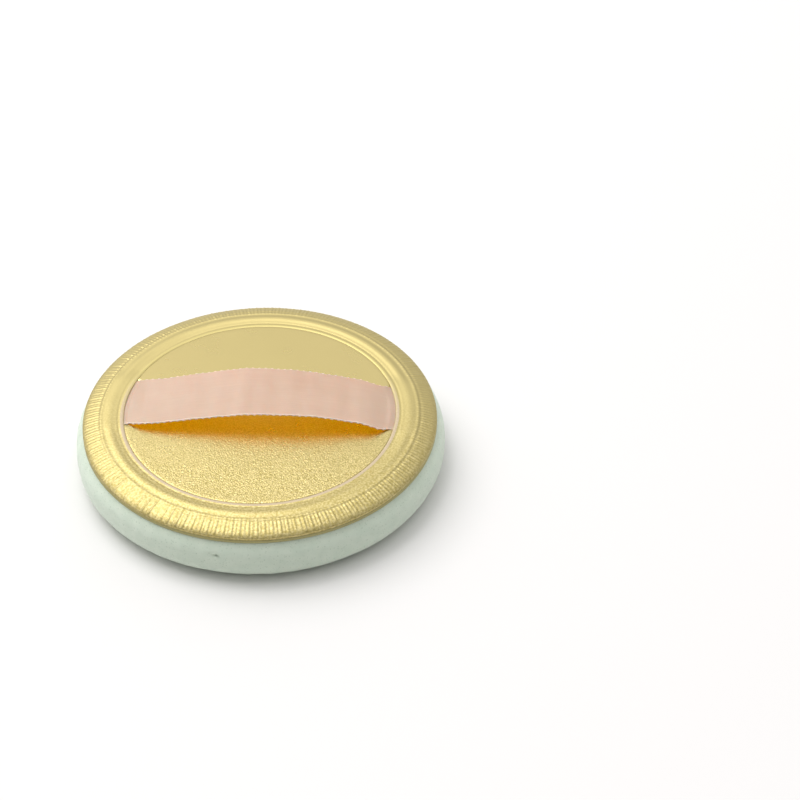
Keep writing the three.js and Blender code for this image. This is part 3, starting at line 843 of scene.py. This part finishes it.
foam = make_foam_body()
core = cushioned_disc("sponge_core", core_radius, core_bottom, core_top,
                      POCKET_CORNER - CORE_CLEARANCE, CORE_TOP_CORNER, seed=3)
pad_corner = (pad_top - pad_bottom) / 2 - PAD_SIDE_HALF
pad = cushioned_disc("pad_sheet", pad_radius, pad_bottom, pad_top, pad_corner, pad_corner, seed=4)
panel, panel_cut_edge = make_gold_panel()
ring, ring_lip = make_pressed_ring()
ribbon, ribbon_sides = make_ribbon()
film = nodes["barrier_film"]
film.data.materials.clear()

panel_gold = gold_leatherette("gold_leatherette_grained", grain_mm=0.17, grain_depth_mm=0.07,
                              deep="#ab9a5b", pale="#e1cf94", dull=0.29, bright=0.27)
ring_gold = gold_leatherette("gold_leatherette_pressed", grain_mm=0.3, grain_depth_mm=0.02,
                             deep="#b0a063", pale="#cdbe88", dull=0.5, bright=0.46)
for piece, finishes in (
    (foam, [mint_foam()]),
    (core, [sponge("core_sponge_cut", light="#f6f2e6", dark="#d9d2bd")]),
    (pad, [sponge("pad_sponge_cut", light="#f2e8d8", dark="#d8c9b0")]),
    (panel, [panel_gold, leatherette_edge_in_shade()]),
    (ring, [ring_gold, lip_painted_highlight()]),
    (ribbon, [pink_satin(), satin_reverse(), picot_thread()]),
    (film, [clear_film()]),
):
    for one in finishes:
        piece.data.materials.append(one)
panel.data.polygons.foreach_set("material_index", panel_cut_edge)
ring.data.polygons.foreach_set("material_index", ring_lip)
ribbon.data.polygons.foreach_set("material_index", ribbon_sides)

for piece, node, slot_name in (
    (foam, "face_foam", "mint_foam"),
    (core, "core_sponge", "core_sponge"),
    (pad, "back_pad", "pad_sponge"),
    (panel, "back_panel", "gold_leatherette"),
    (ring, "rim_ring", "gold_leatherette"),
    (ribbon, "strap", "pink_satin"),
):
    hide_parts(node)

for piece in (pad, panel, ring):
    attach(piece, "backing")
for piece in (foam, core):
    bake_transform(piece)
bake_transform(ribbon)


# Floor, light and camera

FLOOR_REACH = 3.0  # metres from the puff to each side of the floor


def make_floor():
    """Matt white paper: it takes a soft shadow and shows no highlight."""
    made, tree = finish("studio_floor")
    place = add(tree, "ShaderNodeTexCoord").outputs["Object"]
    haze = add(tree, "ShaderNodeTexNoise", {"Vector": place, "Scale": 3.0, "Detail": 1.0})
    colour = add(tree, "ShaderNodeMix", {
        0: haze.outputs["Fac"], 6: tint("#edebea"), 7: tint("#f1efee")}, data_type="RGBA")
    shade = add(tree, "ShaderNodeBsdfPrincipled", {"Base Color": colour.outputs[2], "Roughness": 0.9})
    add(tree, "ShaderNodeOutputMaterial", {"Surface": shade.outputs[0]})
    mesh = bpy.data.meshes.new("floor")
    work = bmesh.new()
    bmesh.ops.create_grid(work, x_segments=8, y_segments=8, size=FLOOR_REACH)
    work.to_mesh(mesh)
    work.free()
    mesh.materials.append(made)
    floor = bpy.data.objects.new("floor", mesh)
    bpy.context.scene.collection.objects.link(floor)


def softbox(name, place, size, watts):
    """A white lamp that faces the puff. Its place and size, width and height, are in metres."""
    lamp = bpy.data.lights.new(name, "AREA")
    lamp.shape = "RECTANGLE"
    lamp.size, lamp.size_y = size
    lamp.energy = watts
    holder = bpy.data.objects.new(name, lamp)
    holder.location = place
    holder.rotation_euler = (-Vector(place)).to_track_quat("-Z", "Y").to_euler()
    bpy.context.scene.collection.objects.link(holder)


make_floor()
# A weak light overhead, and the main one at the left and the back
softbox("light_over", place=(0.05, 0.1, 0.9), size=(1.4, 0.6), watts=1.4)
softbox("light_back", place=(-0.38, 0.28, 0.77), size=(0.75, 0.75), watts=4.8)

scene = bpy.context.scene
world = bpy.data.worlds.new("studio")
world.use_nodes = True
world.node_tree.nodes.clear()
# The white room is brightest overhead and behind the puff.
way = add(world.node_tree, "ShaderNodeTexCoord").outputs["Generated"]
toward_wall = add(world.node_tree, "ShaderNodeVectorMath", {
    0: way, 1: (-0.1, 0.6, 0.65)}, operation="DOT_PRODUCT")
glow = add(world.node_tree, "ShaderNodeMapRange", {
    "Value": toward_wall.outputs["Value"],
    "From Min": -0.3, "From Max": 1.0, "To Min": 0.13, "To Max": 1.08})
sky = add(world.node_tree, "ShaderNodeBackground", {"Color": tint("#ffffff"), "Strength": glow.outputs[0]})
add(world.node_tree, "ShaderNodeOutputWorld", {"Surface": sky.outputs[0]})
scene.world = world
scene.view_settings.view_transform = "Standard"

# The camera that was fitted to the gold rim in the photograph
CAMERA_PLACE = (20.87, -264.62, 234.54)
CAMERA_TILT = 49.82
CAMERA_LENS, CAMERA_SENSOR = 105.0, 36.0
view = bpy.data.cameras.new("camera")
view.lens = CAMERA_LENS
view.sensor_width = CAMERA_SENSOR
view.clip_start = 0.01
camera = bpy.data.objects.new("camera", view)
camera.location = [one * MM for one in CAMERA_PLACE]
camera.rotation_euler = (math.radians(CAMERA_TILT), 0, 0)
scene.collection.objects.link(camera)
scene.camera = camera
